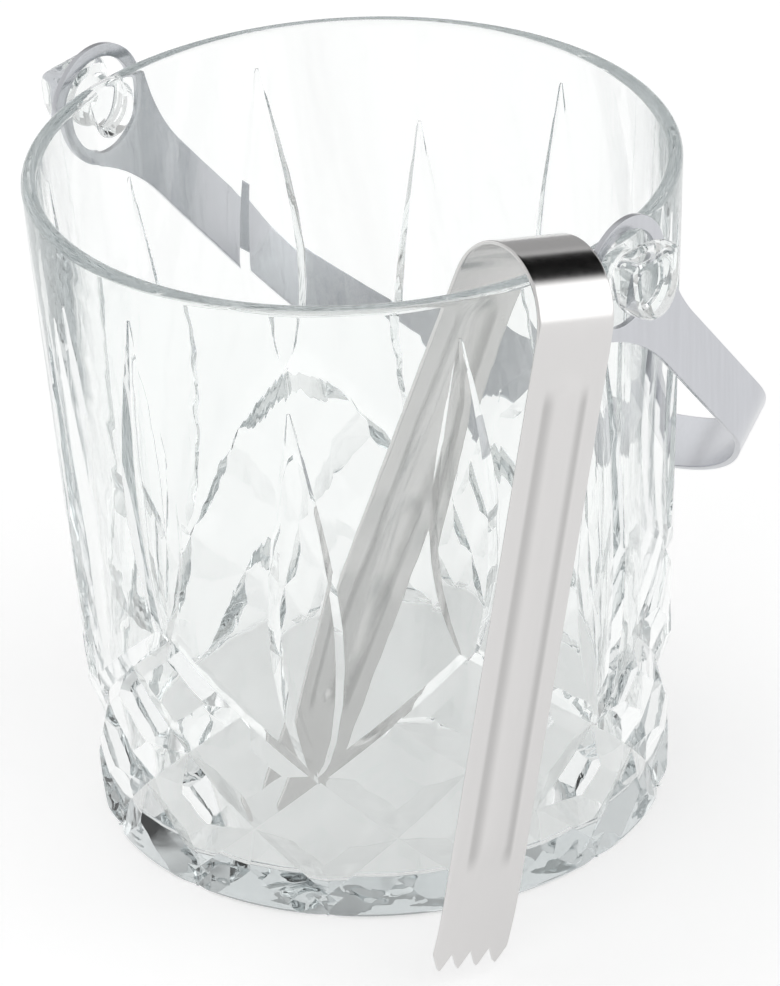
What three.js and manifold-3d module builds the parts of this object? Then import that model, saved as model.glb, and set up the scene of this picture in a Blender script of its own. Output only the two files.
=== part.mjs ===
// Glass ice bucket with a folding steel bail handle and spring tongs.
// Millimetres, +Z up. The origin is the centre of the bucket's underside and
// +X runs along the lug axis; the handle is folded down towards +Y.
import * as THREE from 'three';
import { mergeVertices } from 'three/addons/utils/BufferGeometryUtils.js';
import Module from 'manifold-3d';

const wasm = await Module();
wasm.setup();

const DEG = Math.PI / 180;

// ---- driving dimensions ----
const HEIGHT = 140;               // bucket, table to rim
const RIM_RADIUS = 65;            // outside, at the top of the wall
const FOOT_RADIUS = 57.8;         // outside, at the foot
const FOOT_EDGE = 1.4;            // rounding where the wall meets the underside
const RIM_EDGE = 1.6;             // rounding of the rim
const RIM_WALL = 3.3;             // wall thickness at the rim
const FLOOR_HEIGHT = 6.6;         // inside floor above the table
const FLOOR_RADIUS = 53;          // inside, where the wall meets the floor
const FLOOR_FILLET = 2;
const GLASS_SEGMENTS = 60;

const LEAF_TURN = -2;             // degrees, cut pattern against the lug axis
const TALL_LEAF_TOP = 131;
const SHORT_LEAF_TOP = 117;
const ZIGZAG_HIGH = 58;           // where the tall leaves end
const ZIGZAG_LOW = 31;            // where the short leaves end
const LATTICE_LOW = 4;            // lowest crossings of the diamond lattice
const LEAF_COUNT = 12;            // around the wall, tall and short in turn
const LEAF_CUT = { half: 7.1, depth: 1.9 };
const ZIGZAG_CUT = { half: 2.4, depth: 1.1 };
const LATTICE_CUT = { half: 3.2, depth: 1.5 };

const PIVOT_HEIGHT = 133;         // handle's pivot axis
const LUG_NECK_START = 63;        // buried in the wall
const LUG_HEAD_START = 69.5;
const LUG_HEAD_END = 76.5;
const LUG_HALF_WIDTH = 7.2;
const LUG_TOP = 140.5;
const LUG_BOTTOM = 126.5;
const LUG_EDGE = 1.2;
const NECK_HALF_WIDTH = 5.2;
const NECK_TOP = 139;
const NECK_BOTTOM = 128.6;

const STRIP_THICKNESS = 1.2;      // handle
const STRIP_WIDTH = 11.5;
const EYELET_X = 67.4;            // middle of the eyelet plate, on the pivot axis
const EYELET_RADIUS = 12.7;
const EYELET_HOLE = 10;
const ARM_CONVERGE = 2 * DEG;     // each arm leans in towards the crown
const CROWN_REACH = 106.5;        // pivot axis to the crown's middle
const CROWN_RADIUS = 71;
const CORNER_RADIUS = 18;
const FOLD_ANGLE = 50 * DEG;      // folded handle below the horizontal
const EYELET_BLEND_END = 27;      // along the arm, where the eyelet has narrowed to the strip
const ARM_START = 20;             // along the arm, where the bent strip takes over from the plate
const PLATE_END = 31;             // the plate runs on inside the strip as far as this

const TONG_WIDTH = 17.8;
const TONG_THICKNESS = 0.9;
const BOW_RADIUS = 14.4;          // outside of the bow
const ARM_SPREAD = 8 * DEG;       // each arm off the tongs' own axis, unsqueezed
const ARM_LENGTH = 114.6;         // straight part of each arm
const CLAW_LENGTH = 18;           // gripping end, bent inwards
const CLAW_BEND = 9 * DEG;
const TOOTH_COUNT = 4;
const TOOTH_LENGTH = 4.2;
const FLEX_GAP = 0.3;             // between the bow and the arms that flex on it
const TONG_ORIGIN = [60.7, -21.5, 129.3];
const BOW_TOP_RISE = 18.1;        // top of the bow above the tongs' origin
const TONG_AZIMUTH = -15.8 * DEG; // the way the outer arm faces
const TONG_LEAN = 13.3 * DEG;     // sideways, along the rim
const TONG_TILT = 8.2 * DEG;      // top outwards

// ---- materials ----
const glass = new THREE.MeshStandardMaterial({ color: 0xe6eeec, roughness: 0.03, metalness: 0 });
const handleSteel = new THREE.MeshStandardMaterial({ color: 0xc0c2c8, roughness: 0.28, metalness: 1 });
const tongSteel = new THREE.MeshStandardMaterial({ color: 0xd2cbc8, roughness: 0.2, metalness: 1 });

// ---- solids ----
const WELD = 1e-4; // points closer than this are one

function solidOf(geometry) {
  const bare = geometry.clone();
  for (const name of Object.keys(bare.attributes)) {
    if (name !== 'position') bare.deleteAttribute(name);
  }
  const merged = mergeVertices(bare, WELD);
  return new wasm.Manifold(new wasm.Mesh({
    numProp: 3,
    vertProperties: new Float32Array(merged.attributes.position.array),
    triVerts: new Uint32Array(merged.index.array),
  }));
}

function geometryOf(solid) {
  const mesh = solid.getMesh();
  const geometry = new THREE.BufferGeometry();
  geometry.setAttribute('position', new THREE.BufferAttribute(new Float32Array(mesh.vertProperties), 3));
  geometry.setIndex(new THREE.BufferAttribute(new Uint32Array(mesh.triVerts), 1));
  geometry.computeVertexNormals();
  return geometry;
}

function arcPoints(centre, radius, from, to, steps) {
  const points = [];
  for (let i = 0; i <= steps; i++) {
    const angle = from + (to - from) * i / steps;
    points.push(new THREE.Vector2(
      centre[0] + radius * Math.cos(angle), centre[1] + radius * Math.sin(angle)));
  }
  return points;
}

// ---- glass bucket ----
function outsideRadius(z) {
  const t = (z - FOOT_EDGE) / (HEIGHT - RIM_EDGE - FOOT_EDGE);
  return FOOT_RADIUS + (RIM_RADIUS - FOOT_RADIUS) * t;
}

function bucketShell() {
  const rimInside = RIM_RADIUS - RIM_WALL;
  const profile = [
    new THREE.Vector2(0, 0),
    ...arcPoints([FOOT_RADIUS - FOOT_EDGE, FOOT_EDGE], FOOT_EDGE, -90 * DEG, 0, 3),
    ...arcPoints([RIM_RADIUS - RIM_EDGE, HEIGHT - RIM_EDGE], RIM_EDGE, 0, 90 * DEG, 4),
    ...arcPoints([rimInside + RIM_EDGE, HEIGHT - RIM_EDGE], RIM_EDGE, 90 * DEG, 180 * DEG, 4),
    ...arcPoints([FLOOR_RADIUS - FLOOR_FILLET, FLOOR_HEIGHT + FLOOR_FILLET],
      FLOOR_FILLET, 0, -90 * DEG, 4),
    new THREE.Vector2(0, FLOOR_HEIGHT),
  ];
  const geometry = new THREE.LatheGeometry(profile, GLASS_SEGMENTS);
  geometry.rotateX(90 * DEG); // the lathe turns about Y, the bucket stands on Z
  return solidOf(geometry);
}

// A V-shaped cutter that follows a path on the outside of the wall. Each station
// has an azimuth, a height, half the cut's width and its depth.
function wallCutter(stations) {
  const CLEAR = 1.5; // how far the cutter stands out of the wall
  const place = (s, side, out) => {
    const z = s.z + side * s.across[1];
    const r = outsideRadius(z) + out;
    const azimuth = s.azimuth + side * s.across[0] / r;
    return [r * Math.cos(azimuth), r * Math.sin(azimuth), z];
  };
  const points = [];
  stations.forEach((s, i) => {
    const before = stations[Math.max(i - 1, 0)];
    const after = stations[Math.min(i + 1, stations.length - 1)];
    const along = new THREE.Vector2(
      (after.azimuth - before.azimuth) * outsideRadius(s.z), after.z - before.z).normalize();
    const reach = s.half * (1 + CLEAR / s.depth);
    const at = { azimuth: s.azimuth, z: s.z, across: [along.y * reach, -along.x * reach] };
    points.push(place(at, 1, CLEAR), place(at, -1, CLEAR));
    points.push(place({ ...at, across: [0, 0] }, 0, -s.depth));
  });
  const faces = [[0, 2, 1]];
  for (let i = 0; i + 1 < stations.length; i++) {
    const a = 3 * i;
    const b = a + 3;
    for (const [p, q] of [[0, 1], [1, 2], [2, 0]]) {
      faces.push([a + p, a + q, b + q], [a + p, b + q, b + p]);
    }
  }
  const last = 3 * (stations.length - 1);
  faces.push([last, last + 1, last + 2]);
  const geometry = new THREE.BufferGeometry();
  geometry.setAttribute('position', new THREE.Float32BufferAttribute(points.flat(), 3));
  geometry.setIndex(faces.flat());
  const solid = solidOf(geometry);
  if (solid.volume() > 0) return solid;
  geometry.setIndex(faces.map(([p, q, r]) => [p, r, q]).flat());
  return solidOf(geometry);
}

// Share of a leaf's full width along its length, from its foot to its tip.
const LEAF_SHAPE = [[0, 0.1], [0.12, 0.5], [0.28, 0.9], [0.42, 1], [0.6, 0.82], [0.8, 0.45], [1, 0.06]];
const LEAF_TIP_DEPTH = 0.2; // share of its full depth that a leaf keeps at its ends

function leafCut(azimuth, low, high, { half, depth }) {
  return wallCutter(LEAF_SHAPE.map(([t, share]) => ({
    azimuth,
    z: low + (high - low) * t,
    half: half * share,
    depth: depth * (LEAF_TIP_DEPTH + (1 - LEAF_TIP_DEPTH) * share),
  })));
}

function grooveCut(fromAzimuth, fromZ, toAzimuth, toZ, { half, depth }) {
  const STEPS = 3;
  const stations = [];
  for (let i = 0; i <= STEPS; i++) {
    const t = i / STEPS;
    stations.push({
      azimuth: fromAzimuth + (toAzimuth - fromAzimuth) * t, z: fromZ + (toZ - fromZ) * t, half, depth,
    });
  }
  return wallCutter(stations);
}

function cutPattern() {
  const step = 360 * DEG / LEAF_COUNT;
  const cutters = [];
  for (let i = 0; i < LEAF_COUNT; i++) {
    const azimuth = i * step + LEAF_TURN * DEG;
    if (i % 2 === 1) {
      cutters.push(leafCut(azimuth, ZIGZAG_HIGH, TALL_LEAF_TOP, LEAF_CUT));
      cutters.push(grooveCut(azimuth, ZIGZAG_HIGH, azimuth + step, ZIGZAG_LOW, ZIGZAG_CUT));
      cutters.push(grooveCut(azimuth, ZIGZAG_HIGH, azimuth - step, ZIGZAG_LOW, ZIGZAG_CUT));
    } else {
      cutters.push(leafCut(azimuth, ZIGZAG_LOW, SHORT_LEAF_TOP, LEAF_CUT));
    }
    cutters.push(grooveCut(azimuth, ZIGZAG_LOW, azimuth + step, LATTICE_LOW, LATTICE_CUT));
    cutters.push(grooveCut(azimuth, ZIGZAG_LOW, azimuth - step, LATTICE_LOW, LATTICE_CUT));
  }
  return cutters;
}

function lugOutline(halfWidth, low, high) {
  const shape = new THREE.Shape();
  shape.moveTo(-halfWidth, high);
  shape.lineTo(-halfWidth, low + halfWidth);
  shape.absarc(0, low + halfWidth, halfWidth, 180 * DEG, 360 * DEG, false);
  shape.lineTo(halfWidth, high);
  shape.closePath();
  return shape;
}

// The extrusion's X, Y, Z become the row's Y, Z, X.
function turnToX(geometry) {
  return geometry.rotateY(90 * DEG).rotateX(90 * DEG);
}

function lug(side) {
  const headDepth = LUG_HEAD_END - LUG_HEAD_START - 2 * LUG_EDGE;
  const head = new THREE.ExtrudeGeometry(
    lugOutline(LUG_HALF_WIDTH - LUG_EDGE, LUG_BOTTOM + LUG_EDGE, LUG_TOP - LUG_EDGE),
    { depth: headDepth, bevelThickness: LUG_EDGE, bevelSize: LUG_EDGE, bevelSegments: 3, curveSegments: 12 });
  turnToX(head).translate(LUG_HEAD_START + LUG_EDGE, 0, 0);
  const neckOutline = new THREE.Shape();
  neckOutline.absellipse(0, (NECK_TOP + NECK_BOTTOM) / 2,
    NECK_HALF_WIDTH, (NECK_TOP - NECK_BOTTOM) / 2, 0, 360 * DEG, false, 0);
  const neck = new THREE.ExtrudeGeometry(neckOutline,
    { depth: LUG_HEAD_START + LUG_EDGE - LUG_NECK_START, bevelEnabled: false, curveSegments: 20 });
  turnToX(neck).translate(LUG_NECK_START, 0, 0);
  const solid = solidOf(head).add(solidOf(neck));
  return side > 0 ? solid : solid.rotate([0, 0, 180]);
}

function glassBucket() {
  let solid = bucketShell();
  for (const cutter of cutPattern()) solid = solid.subtract(cutter);
  solid = solid.add(lug(1)).add(lug(-1));
  return geometryOf(solid);
}

// ---- bail handle ----
// In the handle's own plane x is along the pivot axis and y runs from the pivot
// to the crown. The crown is one arc, joined to the straight arms by corner arcs.
function bailLine(offset) {
  const crown = CROWN_RADIUS + offset;
  const corner = CORNER_RADIUS + offset;
  const crownCentre = CROWN_REACH - CROWN_RADIUS;
  const inward = new THREE.Vector2(-Math.cos(ARM_CONVERGE), -Math.sin(ARM_CONVERGE));
  const along = new THREE.Vector2(-Math.sin(ARM_CONVERGE), Math.cos(ARM_CONVERGE));
  const base = new THREE.Vector2(EYELET_X, -crownCentre).addScaledVector(inward, CORNER_RADIUS);
  const reach = CROWN_RADIUS - CORNER_RADIUS;
  const half = base.dot(along);
  const travel = -half + Math.sqrt(half * half - base.lengthSq() + reach * reach);
  const cornerCentre = base.clone().addScaledVector(along, travel);
  cornerCentre.y += crownCentre;
  const join = Math.atan2(cornerCentre.y - crownCentre, cornerCentre.x);
  const right = [
    ...arcPoints(cornerCentre.toArray(), corner, ARM_CONVERGE, join, 7),
    ...arcPoints([0, crownCentre], crown, join, 90 * DEG, 8).slice(1),
  ];
  const left = right.slice(0, -1).reverse().map((p) => new THREE.Vector2(-p.x, p.y));
  return [...right, ...left];
}

function bailStrip() {
  const along = [-Math.sin(ARM_CONVERGE), Math.cos(ARM_CONVERGE)];
  const across = [Math.cos(ARM_CONVERGE), Math.sin(ARM_CONVERGE)];
  const end = (offset) => new THREE.Vector2(
    EYELET_X + along[0] * ARM_START + across[0] * offset, along[1] * ARM_START + across[1] * offset);
  const half = STRIP_THICKNESS / 2;
  const mirror = (p) => new THREE.Vector2(-p.x, p.y);
  const outline = [
    end(half), ...bailLine(half), mirror(end(half)),
    mirror(end(-half)), ...bailLine(-half).reverse(), end(-half),
  ];
  const geometry = new THREE.ExtrudeGeometry(new THREE.Shape(outline),
    { depth: STRIP_WIDTH, bevelEnabled: false });
  geometry.translate(0, 0, -STRIP_WIDTH / 2);
  return solidOf(geometry);
}

function eyeletPlate(side) {
  const half = STRIP_WIDTH / 2;
  // A hollow blend arc touches the eyelet's circle and the strip's edge.
  const blendX = EYELET_BLEND_END;
  const blendRadius = (blendX * blendX + half * half - EYELET_RADIUS * EYELET_RADIUS)
    / (2 * (EYELET_RADIUS - half));
  const blendCentre = [blendX, half + blendRadius];
  const touch = Math.atan2(blendCentre[1], blendCentre[0]);
  const upper = [
    ...arcPoints([0, 0], EYELET_RADIUS, 180 * DEG, touch, 18),
    ...arcPoints(blendCentre, blendRadius, touch + 180 * DEG, 270 * DEG, 6).slice(1),
    new THREE.Vector2(PLATE_END, half),
  ];
  const lower = upper.slice(1).reverse().map((p) => new THREE.Vector2(p.x, -p.y));
  const shape = new THREE.Shape([...upper, ...lower]);
  const HOLE_SIDES = 36;
  shape.holes.push(new THREE.Path(
    arcPoints([0, 0], EYELET_HOLE, 0, 360 * DEG * (1 - 1 / HOLE_SIDES), HOLE_SIDES - 1)));
  const geometry = new THREE.ExtrudeGeometry(shape,
    { depth: STRIP_THICKNESS, bevelEnabled: false });
  geometry.translate(0, 0, -STRIP_THICKNESS / 2);
  // The plate's x runs along the arm and its thickness across the strip.
  const along = new THREE.Vector3(-side * Math.sin(ARM_CONVERGE), Math.cos(ARM_CONVERGE), 0);
  const up = new THREE.Vector3(0, 0, 1);
  const across = new THREE.Vector3().crossVectors(along, up);
  geometry.applyMatrix4(new THREE.Matrix4().makeBasis(along, up, across));
  geometry.translate(side * EYELET_X, 0, 0);
  return solidOf(geometry);
}

function bailHandle() {
  return geometryOf(bailStrip().add(eyeletPlate(1)).add(eyeletPlate(-1)));
}

// ---- tongs ----
// In the tongs' own frame the bow's top is on +z, the outer arm on +x and the
// strip's width along y.
const BOW_CENTRE_Z = BOW_TOP_RISE - BOW_RADIUS;
const BOW_MIDDLE = BOW_RADIUS - TONG_THICKNESS / 2;

function tongBow() {
  const outer = arcPoints([0, BOW_CENTRE_Z], BOW_RADIUS, ARM_SPREAD, 180 * DEG - ARM_SPREAD, 24);
  const inner = arcPoints([0, BOW_CENTRE_Z], BOW_RADIUS - TONG_THICKNESS,
    180 * DEG - ARM_SPREAD, ARM_SPREAD, 24);
  const geometry = new THREE.ExtrudeGeometry(new THREE.Shape([...outer, ...inner]),
    { depth: TONG_WIDTH, bevelEnabled: false });
  geometry.translate(0, 0, -TONG_WIDTH / 2).rotateX(90 * DEG);
  return geometry;
}

const NOTCH_DEPTH = 12; // the notch cutter's depth through the bent claw
const NOTCH_FRONT = 4;  // and how far it stands out in front

// An arm in its own frame: it starts at the origin and runs down -z, with its
// gripping side towards -x.
function tongArm() {
  const half = TONG_THICKNESS / 2;
  const bendRadius = CLAW_LENGTH / CLAW_BEND;
  const bend = (offset) => arcPoints([-bendRadius, -ARM_LENGTH], bendRadius + offset, 0, -CLAW_BEND, 5);
  const side = [
    new THREE.Vector2(half, -FLEX_GAP), new THREE.Vector2(-half, -FLEX_GAP),
    ...bend(-half), ...bend(half).reverse(),
  ];
  const strip = new THREE.ExtrudeGeometry(new THREE.Shape(side),
    { depth: TONG_WIDTH, bevelEnabled: false });
  strip.translate(0, 0, -TONG_WIDTH / 2).rotateX(90 * DEG);
  const pitch = TONG_WIDTH / TOOTH_COUNT;
  const tip = -ARM_LENGTH - CLAW_LENGTH - 1; // just beyond the arm's end
  const valley = -ARM_LENGTH - bendRadius * Math.sin(CLAW_BEND) + TOOTH_LENGTH;
  let solid = solidOf(strip);
  for (let i = 0; i <= TOOTH_COUNT; i++) {
    const y = (i - TOOTH_COUNT / 2) * pitch;
    const spread = pitch / 2 * (valley - tip) / TOOTH_LENGTH;
    const notch = new THREE.Shape([
      new THREE.Vector2(y, valley), new THREE.Vector2(y - spread, tip), new THREE.Vector2(y + spread, tip),
    ]);
    const cut = new THREE.ExtrudeGeometry(notch, { depth: NOTCH_DEPTH, bevelEnabled: false });
    cut.translate(0, 0, NOTCH_FRONT - NOTCH_DEPTH).applyMatrix4(new THREE.Matrix4().makeBasis(
      new THREE.Vector3(0, 1, 0), new THREE.Vector3(0, 0, 1), new THREE.Vector3(1, 0, 0)));
    solid = solid.subtract(solidOf(cut));
  }
  return geometryOf(solid);
}

function placeArm(mesh, side) {
  mesh.position.set(side * BOW_MIDDLE * Math.cos(ARM_SPREAD), 0,
    BOW_CENTRE_Z + BOW_MIDDLE * Math.sin(ARM_SPREAD));
  mesh.rotation.set(0, side > 0 ? -ARM_SPREAD : ARM_SPREAD, side > 0 ? 0 : 180 * DEG, 'YXZ');
  return mesh;
}

// ---- assembly ----
function named(name, geometry, material) {
  const mesh = new THREE.Mesh(geometry, material);
  mesh.name = name;
  return mesh;
}

const bucket = named('glass_bucket', glassBucket(), glass);

const handle = named('bail_handle', bailHandle(), handleSteel);
handle.position.set(0, 0, PIVOT_HEIGHT);
handle.rotation.x = -FOLD_ANGLE;

const tongs = new THREE.Group();
tongs.position.set(...TONG_ORIGIN);
tongs.rotation.set(-TONG_LEAN, TONG_TILT, TONG_AZIMUTH, 'ZXY');
tongs.add(named('tongs_bow', tongBow(), tongSteel));
tongs.add(placeArm(named('tongs_outer_arm', tongArm(), tongSteel), 1));
tongs.add(placeArm(named('tongs_inner_arm', tongArm(), tongSteel), -1));

const iceBucket = new THREE.Group();
iceBucket.add(bucket, handle, tongs);

export default iceBucket;
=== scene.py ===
"""A cut-glass ice bucket with a folded steel bail handle and spring tongs."""
import math

import bmesh
import bpy
import numpy as np
from mathutils import Matrix, Vector


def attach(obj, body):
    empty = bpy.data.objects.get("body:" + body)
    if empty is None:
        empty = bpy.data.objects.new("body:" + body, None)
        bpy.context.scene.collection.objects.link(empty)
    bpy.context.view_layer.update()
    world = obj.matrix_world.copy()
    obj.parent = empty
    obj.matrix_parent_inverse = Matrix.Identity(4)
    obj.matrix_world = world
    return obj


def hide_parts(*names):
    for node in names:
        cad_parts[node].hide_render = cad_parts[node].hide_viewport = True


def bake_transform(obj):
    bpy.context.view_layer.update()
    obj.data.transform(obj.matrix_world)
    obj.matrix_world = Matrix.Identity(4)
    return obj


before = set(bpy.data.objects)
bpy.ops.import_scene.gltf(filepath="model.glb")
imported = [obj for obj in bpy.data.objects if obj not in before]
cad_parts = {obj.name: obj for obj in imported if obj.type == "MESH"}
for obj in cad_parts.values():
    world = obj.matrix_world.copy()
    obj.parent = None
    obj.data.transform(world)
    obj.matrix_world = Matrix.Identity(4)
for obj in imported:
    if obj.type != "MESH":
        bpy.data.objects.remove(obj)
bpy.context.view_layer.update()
MM = 0.001
DEG = math.radians(1)

# ---- sizes in millimetres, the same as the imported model's ----
HEIGHT = 140
RIM_RADIUS = 65
FOOT_RADIUS = 57.8
FOOT_EDGE = 1.4
RIM_EDGE = 1.6
RIM_WALL = 3.3
FLOOR_HEIGHT = 6.6
FLOOR_RADIUS = 53
FLOOR_FILLET = 2

PATTERN_TURN = -2           # degrees, cut pattern against the lug axis
TALL_LEAF_TOP = 131
SHORT_LEAF_TOP = 117
ZIGZAG_HIGH = 58
ZIGZAG_LOW = 31
LATTICE_LOW = 4

PIVOT_HEIGHT = 133
STRIP_THICKNESS = 1.2
STRIP_WIDTH = 11.5
STRIP_EDGE = 0.32           # rounding of the strip's edges
EYELET_X = 67.4
EYELET_RADIUS = 12.7
EYELET_HOLE = 10
ARM_CONVERGE = 2 * DEG
CROWN_REACH = 106.5
CROWN_RADIUS = 71
CORNER_RADIUS = 18
FOLD_ANGLE = 50 * DEG
EYELET_BLEND_END = 27

TONG_WIDTH = 17.8
TONG_THICKNESS = 0.9
TONG_EDGE = 0.3
BOW_RADIUS = 14.4
ARM_SPREAD = 8 * DEG
ARM_LENGTH = 114.6
CLAW_LENGTH = 18
CLAW_BEND = 9 * DEG
TOOTH_COUNT = 4
TOOTH_LENGTH = 4.2
TONG_ORIGIN = (60.7, -21.5, 129.3)
BOW_TOP_RISE = 18.1
TONG_AZIMUTH = -15.8 * DEG
TONG_LEAN = 13.3 * DEG
TONG_TILT = 8.2 * DEG


# ---- mesh helpers ----
def new_object(name, points, faces, scale=MM):
    mesh = bpy.data.meshes.new(name)
    mesh.from_pydata([tuple(float(c) * scale for c in p) for p in points], [], faces)
    mesh.validate()
    mesh.update()
    thing = bpy.data.objects.new(name, mesh)
    bpy.context.scene.collection.objects.link(thing)
    return thing


def apply_modifiers(thing):
    bpy.context.view_layer.update()
    graph = bpy.context.evaluated_depsgraph_get()
    done = bpy.data.meshes.new_from_object(thing.evaluated_get(graph))
    thing.modifiers.clear()
    old = thing.data
    thing.data = done
    bpy.data.meshes.remove(old)


def combine(thing, other, operation):
    """Join or cut thing with other, then drop other."""
    modifier = thing.modifiers.new("combine", "BOOLEAN")
    modifier.operation = operation
    modifier.solver = "MANIFOLD"
    modifier.object = other
    apply_modifiers(thing)
    bpy.data.objects.remove(other)


def smooth_below(thing, degrees):
    mesh = thing.data
    mesh.shade_smooth()
    mesh.set_sharp_from_angle(angle=degrees * DEG)


def arc(centre, radius, start, end, steps):
    """Points on an arc, in degrees."""
    turns = [math.radians(start + (end - start) * i / steps) for i in range(steps + 1)]
    return [(centre[0] + radius * math.cos(t), centre[1] + radius * math.sin(t)) for t in turns]


def lathe(name, profile, segments):
    """A closed solid of revolution about Z. The profile starts and ends on the axis."""
    points = [(0, 0, profile[0][1])]
    rings = profile[1:-1]
    for r, z in rings:
        for i in range(segments):
            turn = 2 * math.pi * i / segments
            points.append((r * math.cos(turn), r * math.sin(turn), z))
    points.append((0, 0, profile[-1][1]))
    last = len(points) - 1
    faces = []
    for i in range(segments):
        j = (i + 1) % segments
        faces.append((0, 1 + j, 1 + i))
        for k in range(len(rings) - 1):
            a = 1 + k * segments
            b = a + segments
            faces.append((a + i, a + j, b + j, b + i))
        top = 1 + (len(rings) - 1) * segments
        faces.append((last, top + i, top + j))
    return new_object(name, points, faces)


# ---- glass ----
GLASS_SEGMENTS = 288
CUT_COUNT = 12              # leaves around the wall, tall and short in turn
TALL_LEAF_CUT = (7.2, 2.2)  # half width, depth
SHORT_LEAF_CUT = (7.4, 2.2)
LATTICE_CUT = (6.2, 2.5)
ZIGZAG_CUT = (3.0, 1.5)
LATTICE_OVERRUN = 0.06      # the grooves run on past the lowest crossings
CUTTER_CLEAR = 1.5          # how far a cutter stands out of the wall


def outside_radius(z):
    share = (z - FOOT_EDGE) / (HEIGHT - RIM_EDGE - FOOT_EDGE)
    return FOOT_RADIUS + (RIM_RADIUS - FOOT_RADIUS) * share


def bucket_shell():
    inside = RIM_RADIUS - RIM_WALL
    profile = [(0, 0)]
    profile += arc((FOOT_RADIUS - FOOT_EDGE, FOOT_EDGE), FOOT_EDGE, -90, 0, 6)
    profile += arc((RIM_RADIUS - RIM_EDGE, HEIGHT - RIM_EDGE), RIM_EDGE, 0, 90, 8)
    profile += arc((inside + RIM_EDGE, HEIGHT - RIM_EDGE), RIM_EDGE, 90, 180, 8)[1:]
    profile += arc((FLOOR_RADIUS - FLOOR_FILLET, FLOOR_HEIGHT + FLOOR_FILLET), FLOOR_FILLET, 0, -90, 10)
    profile += [(0, FLOOR_HEIGHT)]
    return lathe("glass", profile, GLASS_SEGMENTS)


# Cross-sections of the cuts: (across, of the half width; into the wall, of the depth).
V_CUT = ((0, 1),)
LEAF_CUT = ((0.72, 0.7), (0, 1), (-0.72, 0.7))


def wall_cutters(name, paths, section):
    """Cutters along paths on the outside wall. A station is azimuth in radians,
    height, half the cut's width and its depth. The paths don't cross."""
    slope = section[0][1] / (1 - section[0][0])
    size = len(section) + 2
    points = []
    faces = []
    for path in paths:
        base = len(points)
        for i, (azimuth, z, half, depth) in enumerate(path):
            before = path[max(i - 1, 0)]
            after = path[min(i + 1, len(path) - 1)]
            run = (after[0] - before[0]) * outside_radius(z)
            rise = after[1] - before[1]
            length = math.hypot(run, rise)
            widen = 1 + CUTTER_CLEAR / (depth * slope)
            outline = [(widen, CUTTER_CLEAR)] + [(u, -depth * share) for u, share in section]
            for across, out in outline + [(-widen, CUTTER_CLEAR)]:
                height = z - across * half * run / length
                radius = outside_radius(height) + out
                turn = azimuth + across * half * rise / length / radius
                points.append((radius * math.cos(turn), radius * math.sin(turn), height))
        faces.append(tuple(base + p for p in range(size))[::-1])
        for i in range(len(path) - 1):
            a = base + size * i
            b = a + size
            for p in range(size):
                q = (p + 1) % size
                faces.append((a + p, a + q, b + q))
                faces.append((a + p, b + q, b + p))
        end = base + size * (len(path) - 1)
        faces.append(tuple(end + p for p in range(size)))
    thing = new_object(name, points, faces)
    face_outwards(thing)
    return thing


def face_outwards(thing):
    work = bmesh.new()
    work.from_mesh(thing.data)
    bmesh.ops.recalc_face_normals(work, faces=work.faces)
    work.to_mesh(thing.data)
    work.free()


LEAF_SHAPE = (
    (0, 0.1), (0.06, 0.34), (0.14, 0.62), (0.24, 0.86), (0.34, 0.98), (0.44, 1),
    (0.56, 0.9), (0.68, 0.72), (0.8, 0.48), (0.91, 0.24), (1, 0.05),
)


def leaf_path(azimuth, low, high, half, depth):
    return [(azimuth, low + (high - low) * t, half * share, depth * (0.15 + 0.85 * share))
            for t, share in LEAF_SHAPE]


def groove_path(azimuth, z, turn, drop, half, depth, steps=6):
    return [(azimuth + turn * i / steps, z + drop * i / steps, half, depth) for i in range(steps + 1)]


def cut_pattern(glass):
    step = 2 * math.pi / CUT_COUNT
    turns = [step * i + PATTERN_TURN * DEG for i in range(CUT_COUNT)]
    short = turns[0::2]
    tall = turns[1::2]
    deep = ZIGZAG_LOW - LATTICE_LOW
    leaves = [leaf_path(a, ZIGZAG_HIGH - 1, TALL_LEAF_TOP, *TALL_LEAF_CUT) for a in tall]
    leaves += [leaf_path(a, ZIGZAG_LOW - 1, SHORT_LEAF_TOP, *SHORT_LEAF_CUT) for a in short]
    combine(glass, wall_cutters("leaves", leaves, LEAF_CUT), "DIFFERENCE")
    for side in (1, -1):
        reach = 1 + LATTICE_OVERRUN
        lattice = [groove_path(a, ZIGZAG_LOW, side * step * reach, -deep * reach, *LATTICE_CUT)
                   for a in short]
        combine(glass, wall_cutters("lattice", lattice, V_CUT), "DIFFERENCE")
        reach = 1.5 + LATTICE_OVERRUN
        lattice = [groove_path(a - side * step / 2, ZIGZAG_LOW + deep / 2, side * step * reach,
                               -deep * reach, *LATTICE_CUT, 9)
                   for a in tall]
        combine(glass, wall_cutters("lattice", lattice, V_CUT), "DIFFERENCE")
        zigzag = [groove_path(a, ZIGZAG_HIGH, side * step, ZIGZAG_LOW - ZIGZAG_HIGH, *ZIGZAG_CUT)
                  for a in tall]
        combine(glass, wall_cutters("zigzag", zigzag, V_CUT), "DIFFERENCE")


# Lug sections along X: x, half width, top, bottom.
LUG_SECTIONS = (
    (63, 6.6, 138.0, 126.2), (64.8, 6.0, 138.2, 127.2), (66, 5.3, 138.6, 128.2),
    (67.4, 5.0, 138.8, 128.7), (68.6, 5.3, 139.1, 128.4), (69.5, 6.0, 139.6, 127.6),
    (70.1, 6.7, 140.1, 127.0), (71, 7.1, 140.4, 126.6), (72.4, 7.2, 140.5, 126.5),
    (74.4, 7.2, 140.5, 126.5), (75.4, 7.0, 140.4, 126.7), (76.1, 6.5, 140.0, 127.2),
    (76.4, 5.8, 139.4, 127.9), (76.5, 4.6, 138.4, 129.0),
)
LUG_POINTS = 64


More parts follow.
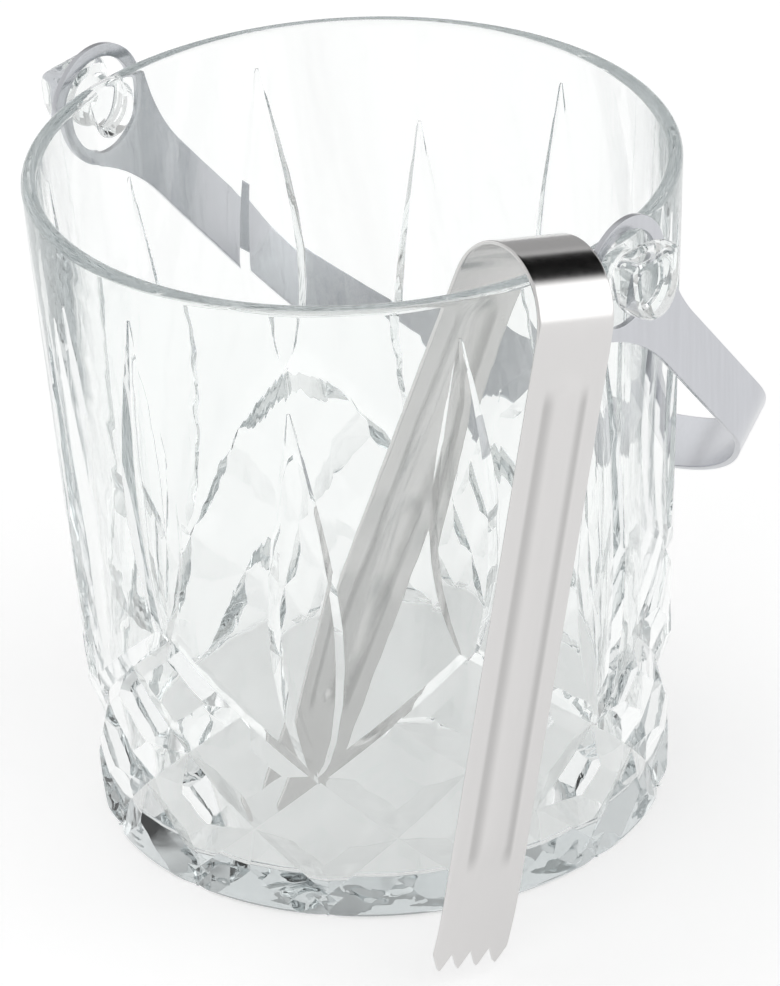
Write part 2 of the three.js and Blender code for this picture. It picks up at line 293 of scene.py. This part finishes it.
def lug(side):
    points = []
    for x, half, top, bottom in LUG_SECTIONS:
        head = min(max((x - 69) / 3, 0), 1)
        shoulder = 2.4 + 2.2 * (1 - head)
        middle = top - shoulder
        square = 2.2 + 2.4 * head
        for i in range(LUG_POINTS):
            turn = 2 * math.pi * i / LUG_POINTS
            c = math.cos(turn)
            s = math.sin(turn)
            power = 2 / (square if s > 0 else 2.2)
            y = half * math.copysign(abs(c) ** power, c)
            z = middle + math.copysign(abs(s) ** power, s) * (shoulder if s > 0 else middle - bottom)
            hollow = math.exp(-((x - 73.6) / 1.7) ** 2) * max(0, 1 - (y / (half * 0.82)) ** 2)
            if s > 0:
                z -= 1.5 * hollow
            points.append((side * x, side * y, z))
    faces = [tuple(range(LUG_POINTS))[::-1]]
    rows = len(LUG_SECTIONS)
    for k in range(rows - 1):
        for i in range(LUG_POINTS):
            j = (i + 1) % LUG_POINTS
            a = k * LUG_POINTS
            b = a + LUG_POINTS
            faces.append((a + i, a + j, b + j, b + i))
    faces.append(tuple((rows - 1) * LUG_POINTS + i for i in range(LUG_POINTS)))
    thing = new_object("lug", points, faces)
    face_outwards(thing)
    return thing


def make_glass():
    glass = bucket_shell()
    cut_pattern(glass)
    combine(glass, lug(1), "UNION")
    combine(glass, lug(-1), "UNION")
    smooth_below(glass, 14)
    return glass


# ---- handle ----
def bail_centre_line():
    """Points of the strip's middle from the right pivot to the left one, and the
    distance along it. x is along the pivot axis and y towards the crown."""
    centre_y = CROWN_REACH - CROWN_RADIUS
    inward = np.array([-math.cos(ARM_CONVERGE), -math.sin(ARM_CONVERGE)])
    along = np.array([-math.sin(ARM_CONVERGE), math.cos(ARM_CONVERGE)])
    base = np.array([EYELET_X, -centre_y]) + inward * CORNER_RADIUS
    reach = CROWN_RADIUS - CORNER_RADIUS
    half = base @ along
    travel = -half + math.sqrt(half * half - base @ base + reach * reach)
    corner = base + along * travel
    join = math.degrees(math.atan2(corner[1], corner[0]))
    corner_at = (corner[0], corner[1] + centre_y)
    start = np.array([EYELET_X, 0])
    bend = arc(corner_at, CORNER_RADIUS, math.degrees(ARM_CONVERGE), join, 24)
    arm_end = np.array(bend[0])
    arm = [tuple(start + (arm_end - start) * i / 12) for i in range(-6, 12)]
    crown = arc((0, centre_y), CROWN_RADIUS, join, 90, 30)[1:]
    right = arm + bend + crown
    left = [(-x, y) for x, y in right[:-1]][::-1]
    line = np.array(right + left)
    gaps = np.hypot(*np.diff(line, axis=0).T)
    run = np.concatenate([[0], np.cumsum(gaps)])
    return line, run - run[6]


BAIL_LINE, BAIL_RUN = bail_centre_line()
BAIL_LENGTH = BAIL_RUN[-1] - (BAIL_RUN[6] - BAIL_RUN[0])


def bail_point(run, across, out):
    """A point of the flat strip, bent to the arch and folded back."""
    x = np.interp(run, BAIL_RUN, BAIL_LINE[:, 0])
    y = np.interp(run, BAIL_RUN, BAIL_LINE[:, 1])
    d = 0.6  # a short step either way gives the direction
    tx = np.interp(run + d, BAIL_RUN, BAIL_LINE[:, 0]) - np.interp(run - d, BAIL_RUN, BAIL_LINE[:, 0])
    ty = np.interp(run + d, BAIL_RUN, BAIL_LINE[:, 1]) - np.interp(run - d, BAIL_RUN, BAIL_LINE[:, 1])
    length = math.hypot(tx, ty)
    x += ty / length * out
    y -= tx / length * out
    c = math.cos(FOLD_ANGLE)
    s = math.sin(FOLD_ANGLE)
    return (x, y * c + across * s, PIVOT_HEIGHT - y * s + across * c)


def flat_pattern():
    """The strip cut flat: points (run, across) and quads, eyelets at both ends."""
    half = STRIP_WIDTH / 2
    blend = EYELET_BLEND_END
    radius = (blend * blend + half * half - EYELET_RADIUS ** 2) / (2 * (EYELET_RADIUS - half))
    touch = math.atan2(half + radius, blend)
    front = 24
    back = 52
    thetas = [touch - 2 * touch * i / front for i in range(front + 1)]
    around = thetas + [-touch - (2 * math.pi - 2 * touch) * i / back for i in range(1, back)]
    points = []
    faces = []
    rings = (EYELET_HOLE, (EYELET_HOLE + EYELET_RADIUS) / 2, EYELET_RADIUS)
    for r in rings:
        points += [(r * math.cos(t), r * math.sin(t)) for t in around]
    count = len(around)
    for k in range(len(rings) - 1):
        for i in range(count):
            j = (i + 1) % count
            faces.append((k * count + i, (k + 1) * count + i, (k + 1) * count + j, k * count + j))
    row = [(len(rings) - 1) * count + i for i in range(front + 1)]
    levels = 12
    rows = []
    for k in range(1, levels + 1):
        u = k / levels
        turn = touch + math.pi + (1.5 * math.pi - touch - math.pi) * u
        side_run = blend + radius * math.cos(turn)
        side_across = half + radius + radius * math.sin(turn)
        middle = EYELET_RADIUS + (blend - EYELET_RADIUS) * u
        share = 1 - math.cos(touch)
        rows.append([(side_run + (middle - side_run) * (math.cos(t) - math.cos(touch)) / share,
                      side_across * math.sin(t) / math.sin(touch)) for t in thetas])
    steps = 70
    for k in range(1, steps + 1):
        run = blend + (BAIL_LENGTH / 2 - blend) * k / steps
        rows.append([(run, half * math.sin(t) / math.sin(touch)) for t in thetas])
    for level in rows:
        start = len(points)
        points += level
        for i in range(front):
            faces.append((row[i], start + i, start + i + 1, row[i + 1]))
        row = list(range(start, start + front + 1))
    # The left half mirrors the right one and shares the middle row.
    total = len(points)
    mirror = {}
    for i, (run, across) in enumerate(points[:total]):
        if i in row:
            mirror[i] = i
        else:
            mirror[i] = len(points)
            points.append((BAIL_LENGTH - run, across))
    faces += [tuple(mirror[i] for i in reversed(face)) for face in list(faces)]
    return points, faces


def thicken(points, faces, place, thickness):
    """A closed shell of a flat pattern: both faces and the wall between them."""
    count = len(points)
    solid = [place(run, across, thickness / 2) for run, across in points]
    solid += [place(run, across, -thickness / 2) for run, across in points]
    shell = list(faces) + [tuple(i + count for i in reversed(face)) for face in faces]
    edges = {}
    for face in faces:
        for a, b in zip(face, face[1:] + face[:1]):
            edges[(a, b)] = edges.get((a, b), 0) + 1
    for a, b in edges:
        if (b, a) not in edges:
            shell.append((b, a, a + count, b + count))
    return solid, shell


def make_handle():
    points, faces = flat_pattern()
    solid, shell = thicken(points, faces, bail_point, STRIP_THICKNESS)
    handle = new_object("handle", solid, shell)
    face_outwards(handle)
    bevel = handle.modifiers.new("edge", "BEVEL")
    bevel.width = STRIP_EDGE * MM
    bevel.segments = 3
    bevel.limit_method = "ANGLE"
    bevel.angle_limit = 50 * DEG
    apply_modifiers(handle)
    smooth_below(handle, 35)
    return handle


# ---- tongs ----
TONG_MATRIX = (Matrix.Translation(Vector(TONG_ORIGIN) * MM)
               @ Matrix.Rotation(TONG_AZIMUTH, 4, "Z")
               @ Matrix.Rotation(-TONG_LEAN, 4, "X")
               @ Matrix.Rotation(TONG_TILT, 4, "Y"))
BOW_CENTRE = BOW_TOP_RISE - BOW_RADIUS
BOW_MIDDLE = BOW_RADIUS - TONG_THICKNESS / 2
BOW_RUN = BOW_MIDDLE * (math.pi / 2 - ARM_SPREAD)
CLAW_RADIUS = CLAW_LENGTH / CLAW_BEND


def tong_line(run):
    """Middle of the strip at a distance from the bow's top: x, z and the direction
    of its outward normal."""
    if run < BOW_RUN:
        turn = math.pi / 2 - run / BOW_MIDDLE
        return BOW_MIDDLE * math.cos(turn), BOW_CENTRE + BOW_MIDDLE * math.sin(turn), turn
    x = BOW_MIDDLE * math.cos(ARM_SPREAD)
    z = BOW_CENTRE + BOW_MIDDLE * math.sin(ARM_SPREAD)
    straight = min(run - BOW_RUN, ARM_LENGTH)
    x += straight * math.sin(ARM_SPREAD)
    z -= straight * math.cos(ARM_SPREAD)
    turn = ARM_SPREAD
    bent = run - BOW_RUN - straight
    if bent > 0:
        end = turn - bent / CLAW_RADIUS
        x -= CLAW_RADIUS * (math.cos(turn) - math.cos(end))
        z -= CLAW_RADIUS * (math.sin(turn) - math.sin(end))
        turn = end
    return x, z, turn


RIB_START = 27       # from the bow's top
RIB_END = 130
RIB_FADE = 5
RIB_HALF = 4.8
RIB_HEIGHT = 1.0
RIB_TOP = -3         # height in the tongs' own frame
RIB_FOOT = -105


def rib(run, across):
    """Height of the long rounded rib pressed into each arm."""
    rise = min(max((run - RIB_START) / RIB_FADE, 0), 1) * min(max((RIB_END - run) / RIB_FADE, 0), 1)
    share = max(1 - (across / RIB_HALF) ** 2 - (1 - rise) ** 2, 0)
    return RIB_HEIGHT * share * math.sqrt(share)


def make_tong_half(name, side):
    half = TONG_WIDTH / 2
    edge = TONG_EDGE
    columns = 48
    face = []
    for i in range(columns + 1):
        face.append(((half - edge) * (2 * i / columns - 1), TONG_THICKNESS / 2))
    round_edge = arc((half - edge, TONG_THICKNESS / 2 - edge), edge, 90, 0, 3)[1:]
    right = round_edge + [(y, -z) for y, z in round_edge[::-1]]
    section = face + right + [(y, -z) for y, z in face[::-1]] + [(-y, -z) for y, z in right]
    end_run = BOW_RUN + ARM_LENGTH + CLAW_LENGTH
    pitch = TONG_WIDTH / TOOTH_COUNT
    runs = [BOW_RUN * (1 - math.cos(math.pi / 2 * i / 28)) for i in range(28)]
    runs += [BOW_RUN + (end_run - 10 - BOW_RUN) * i / 72 for i in range(73)]
    last = end_run - 10
    points = []
    for k in range(len(runs) + 10):
        for across, out in section:
            if k < len(runs):
                run = runs[k]
            else:
                tooth = abs((across / pitch) % 1 - 0.5) * 2
                finish = end_run - TOOTH_LENGTH * tooth
                run = last + (finish - last) * (k - len(runs) + 1) / 10
            x, z, turn = tong_line(run)
            lift = out + rib(run, across)
            points.append((side * (x + lift * math.cos(turn)), across, z + lift * math.sin(turn)))
    size = len(section)
    rows = len(points) // size
    faces = [tuple(range(size))]
    for k in range(rows - 1):
        for i in range(size):
            j = (i + 1) % size
            faces.append((k * size + i, (k + 1) * size + i, (k + 1) * size + j, k * size + j))
    # The toothed end is closed strip by strip, so that it follows the teeth.
    end = (rows - 1) * size
    top = list(range(columns + 1))
    edge_points = len(right)
    bottom = [columns + 1 + edge_points + columns - i for i in range(columns + 1)]
    for i in range(columns):
        faces.append((end + top[i], end + top[i + 1], end + bottom[i + 1], end + bottom[i]))
    for first in (columns, 2 * columns + 1 + edge_points):
        loop = [(first + i) % size for i in range(edge_points + 2)]
        faces.append(tuple(end + i for i in loop))
    thing = new_object(name, points, faces)
    thing.data.transform(TONG_MATRIX)
    face_outwards(thing)
    smooth_below(thing, 32)
    return thing


# ---- materials ----
GRAIN_SCALE = 900
PAINTED_CREASE_SHADE = 0.74         # painted shade in the creases beside the rib, as a share of the steel's colour
def material(name):
    made = bpy.data.materials.new(name)
    made.use_nodes = True
    made.node_tree.nodes.clear()
    return made, made.node_tree.nodes, made.node_tree.links


def glass_material():
    made, nodes, links = material("clear_glass")
    out = nodes.new("ShaderNodeOutputMaterial")
    shader = nodes.new("ShaderNodeBsdfPrincipled")
    shader.inputs["Base Color"].default_value = (0.985, 0.995, 0.99, 1)
    shader.inputs["Roughness"].default_value = 0.0
    shader.inputs["IOR"].default_value = 1.5
    shader.inputs["Transmission Weight"].default_value = 1
    links.new(shader.outputs["BSDF"], out.inputs["Surface"])
    wave = nodes.new("ShaderNodeTexNoise")
    wave.inputs["Scale"].default_value = 55
    wave.inputs["Detail"].default_value = 2
    place = nodes.new("ShaderNodeTexCoord")
    links.new(place.outputs["Object"], wave.inputs["Vector"])
    bump = nodes.new("ShaderNodeBump")
    bump.inputs["Strength"].default_value = 0.25
    bump.inputs["Distance"].default_value = 0.0005
    links.new(wave.outputs["Fac"], bump.inputs["Height"])
    links.new(bump.outputs["Normal"], shader.inputs["Normal"])
    body = nodes.new("ShaderNodeVolumeAbsorption")
    body.inputs["Color"].default_value = (0.84, 0.86, 0.865, 1)
    body.inputs["Density"].default_value = 20
    links.new(body.outputs["Volume"], out.inputs["Volume"])
    return made


def painted_crease_mask(nodes, links, local):
    """Painted shade in the creases along both sides of the rib, 0 to 1, standing in for the rib's
    reflections.
    """
    parts = nodes.new("ShaderNodeSeparateXYZ")
    links.new(local, parts.inputs["Vector"])
    across = nodes.new("ShaderNodeMath")
    across.operation = "ABSOLUTE"
    links.new(parts.outputs["Y"], across.inputs[0])
    spans = (
        (across.outputs["Value"], (RIB_HALF - 2.6) * MM, (RIB_HALF - 0.4) * MM),
        (across.outputs["Value"], (RIB_HALF + 0.9) * MM, (RIB_HALF - 0.2) * MM),
        (parts.outputs["Z"], RIB_TOP * MM, (RIB_TOP - 5) * MM),
        (parts.outputs["Z"], RIB_FOOT * MM, (RIB_FOOT + 5) * MM),
    )
    level = None
    for value, low, high in spans:
        share = nodes.new("ShaderNodeMapRange")
        share.interpolation_type = "SMOOTHSTEP"
        share.inputs["From Min"].default_value = low
        share.inputs["From Max"].default_value = high
        links.new(value, share.inputs["Value"])
        if level is None:
            level = share.outputs["Result"]
        else:
            both = nodes.new("ShaderNodeMath")
            both.operation = "MULTIPLY"
            links.new(level, both.inputs[0])
            links.new(share.outputs["Result"], both.inputs[1])
            level = both.outputs["Value"]
    return level


def steel_material(name, colour, roughness, grain_axis, turn=(0, 0, 0), shift=(0, 0, 0), contrast=0.1,
                   paint_crease_shade=False):
    made, nodes, links = material(name)
    out = nodes.new("ShaderNodeOutputMaterial")
    shader = nodes.new("ShaderNodeBsdfPrincipled")
    shader.inputs["Metallic"].default_value = 1
    links.new(shader.outputs["BSDF"], out.inputs["Surface"])
    place = nodes.new("ShaderNodeTexCoord")
    align = nodes.new("ShaderNodeMapping")
    align.inputs["Rotation"].default_value = turn
    align.inputs["Location"].default_value = shift
    links.new(place.outputs["Object"], align.inputs["Vector"])
    stretch = nodes.new("ShaderNodeMapping")
    stretch.inputs["Scale"].default_value = grain_axis
    links.new(align.outputs["Vector"], stretch.inputs["Vector"])
    grain = nodes.new("ShaderNodeTexNoise")
    grain.inputs["Scale"].default_value = GRAIN_SCALE
    grain.inputs["Detail"].default_value = 4
    links.new(stretch.outputs["Vector"], grain.inputs["Vector"])
    tint = nodes.new("ShaderNodeValToRGB")
    tint.color_ramp.elements[0].color = tuple(c * (1 - contrast) for c in colour) + (1,)
    tint.color_ramp.elements[1].color = tuple(min(c * (1 + contrast / 2), 1) for c in colour) + (1,)
    links.new(grain.outputs["Fac"], tint.inputs["Fac"])
    # Painted shade: the creases beside the rib get a darker colour, standing in for the rib's
    # reflections.
    if paint_crease_shade:
        painted_shade = nodes.new("ShaderNodeMix")
        painted_shade.data_type = "RGBA"
        painted_shade.inputs["B"].default_value = tuple(c * PAINTED_CREASE_SHADE for c in colour) + (1,)
        links.new(painted_crease_mask(nodes, links, align.outputs["Vector"]), painted_shade.inputs["Factor"])
        links.new(tint.outputs["Color"], painted_shade.inputs["A"])
        links.new(painted_shade.outputs["Result"], shader.inputs["Base Color"])
    else:
        links.new(tint.outputs["Color"], shader.inputs["Base Color"])
    gloss = nodes.new("ShaderNodeMapRange")
    gloss.inputs["To Min"].default_value = roughness * 0.75
    gloss.inputs["To Max"].default_value = roughness * 1.25
    links.new(grain.outputs["Fac"], gloss.inputs["Value"])
    links.new(gloss.outputs["Result"], shader.inputs["Roughness"])
    bump = nodes.new("ShaderNodeBump")
    bump.inputs["Strength"].default_value = contrast / 2
    bump.inputs["Distance"].default_value = 0.0001
    links.new(grain.outputs["Fac"], bump.inputs["Height"])
    links.new(bump.outputs["Normal"], shader.inputs["Normal"])
    return made


# ---- camera, light and floor ----
CAMERA_PLACE = (0.8604, -0.9797, 0.7866)
CAMERA_AIM = (0.0030, 0.0026, 0.0643)
CAMERA_ROLL = -3.13
CAMERA_LENS = 271


def make_camera():
    data = bpy.data.cameras.new("camera")
    data.lens = CAMERA_LENS
    data.sensor_width = 36
    data.clip_end = 20
    camera = bpy.data.objects.new("camera", data)
    bpy.context.scene.collection.objects.link(camera)
    look = Vector(CAMERA_AIM) - Vector(CAMERA_PLACE)
    turn = look.to_track_quat("-Z", "Y").to_matrix().to_4x4()
    camera.matrix_world = (Matrix.Translation(Vector(CAMERA_PLACE)) @ turn
                           @ Matrix.Rotation(CAMERA_ROLL * DEG, 4, "Z"))
    bpy.context.scene.camera = camera


def compass(azimuth, elevation):
    """A unit vector towards a place in the studio, in degrees."""
    flat = math.cos(elevation * DEG)
    return (flat * math.cos(azimuth * DEG), flat * math.sin(azimuth * DEG), math.sin(elevation * DEG))


# Parts of the studio: middle (azimuth, elevation), full out to, gone by, brightness.
STUDIO = (
    ((128, 8), 22, 38, 0.45),       # grey backdrop behind the bucket
    ((80, 48), 19, 25, 0.0),        # unlit ceiling behind it
    ((33, 16), 22, 25, 1.7),        # large soft light on the right
    ((-178, 14), 14, 20, 1.2),      # small soft light on the left
)
STUDIO_FILL = 0.78
FLOOR_PAINT = (0.7, 0.7, 0.7, 1)
FLOOR_GLOW = 0.52
FLOOR_HALF = 3              # metres
FLOOR_DROP = 0.0002         # metres below the bucket, so that they don't touch


def studio_world():
    world = bpy.data.worlds.new("studio")
    bpy.context.scene.world = world
    world.use_nodes = True
    nodes = world.node_tree.nodes
    links = world.node_tree.links
    place = nodes.new("ShaderNodeTexCoord")
    level = None
    for middle, full, gone, brightness in STUDIO:
        towards = nodes.new("ShaderNodeVectorMath")
        towards.operation = "DOT_PRODUCT"
        towards.inputs[1].default_value = compass(*middle)
        links.new(place.outputs["Generated"], towards.inputs[0])
        share = nodes.new("ShaderNodeMapRange")
        share.interpolation_type = "SMOOTHSTEP"
        share.inputs["From Min"].default_value = math.cos(gone * DEG)
        share.inputs["From Max"].default_value = math.cos(full * DEG)
        links.new(towards.outputs["Value"], share.inputs["Value"])
        blend = nodes.new("ShaderNodeMix")
        blend.inputs["B"].default_value = brightness
        blend.inputs["A"].default_value = STUDIO_FILL
        links.new(share.outputs["Result"], blend.inputs["Factor"])
        if level is not None:
            links.new(level, blend.inputs["A"])
        level = blend.outputs["Result"]
    links.new(level, nodes["Background"].inputs["Color"])
    nodes["Background"].inputs["Strength"].default_value = 1


def make_studio():
    studio_world()
    corners = [(x * FLOOR_HALF, y * FLOOR_HALF, 0) for x, y in ((-1, -1), (1, -1), (1, 1), (-1, 1))]
    floor = new_object("floor", corners, [(0, 1, 2, 3)], 1)
    floor.location.z = -FLOOR_DROP
    made, nodes, links = material("floor")
    out = nodes.new("ShaderNodeOutputMaterial")
    shader = nodes.new("ShaderNodeBsdfPrincipled")
    shader.inputs["Base Color"].default_value = FLOOR_PAINT
    shader.inputs["Roughness"].default_value = 0.8
    shader.inputs["Emission Color"].default_value = (1, 1, 1, 1)
    shader.inputs["Emission Strength"].default_value = FLOOR_GLOW
    links.new(shader.outputs["BSDF"], out.inputs["Surface"])
    floor.data.materials.append(made)


def finish_piece(thing, look):
    thing.data.materials.clear()
    thing.data.materials.append(look)


make_camera()
make_studio()

glass = make_glass()
finish_piece(glass, glass_material())
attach(glass, "bucket")
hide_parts("glass_bucket")

handle = make_handle()
finish_piece(handle, steel_material("satin_steel", (0.58, 0.59, 0.62), 0.24, (1, 1, 0.05)))
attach(handle, "handle")
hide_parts("bail_handle")

TO_TONGS = TONG_MATRIX.inverted()
# The tongs' steel carries painted shade in the creases beside the rib.
bright_steel = steel_material("bright_steel", (0.68, 0.67, 0.665), 0.17, (1, 1, 0.02),
                              TO_TONGS.to_euler(), TO_TONGS.to_translation(), 0.03, True)
BLEND_LENGTH = 14          # millimetres of arm past the bow; the loop below reads the tongs' line there and bends nothing
for name, side, arm in (("tongs_outer_half", 1, "outer_arm"), ("tongs_inner_half", -1, "inner_arm")):
    piece = make_tong_half(name, side)
    finish_piece(piece, bright_steel)
    for run in (BOW_RUN - 2, BOW_RUN + BLEND_LENGTH):
        x, z, _ = tong_line(run)
    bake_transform(piece)
    if side > 0:
        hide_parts("tongs_bow", "tongs_outer_arm")
    else:
        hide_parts("tongs_inner_arm")

LIGHT_BOUNCES = 32
scene = bpy.context.scene
scene.view_settings.view_transform = "Standard"
scene.cycles.use_denoising = True
# Reflection inside the glass counts as glossy, so the limits are high.
scene.cycles.max_bounces = LIGHT_BOUNCES
scene.cycles.glossy_bounces = LIGHT_BOUNCES
scene.cycles.transmission_bounces = LIGHT_BOUNCES
scene.cycles.transparent_max_bounces = 16
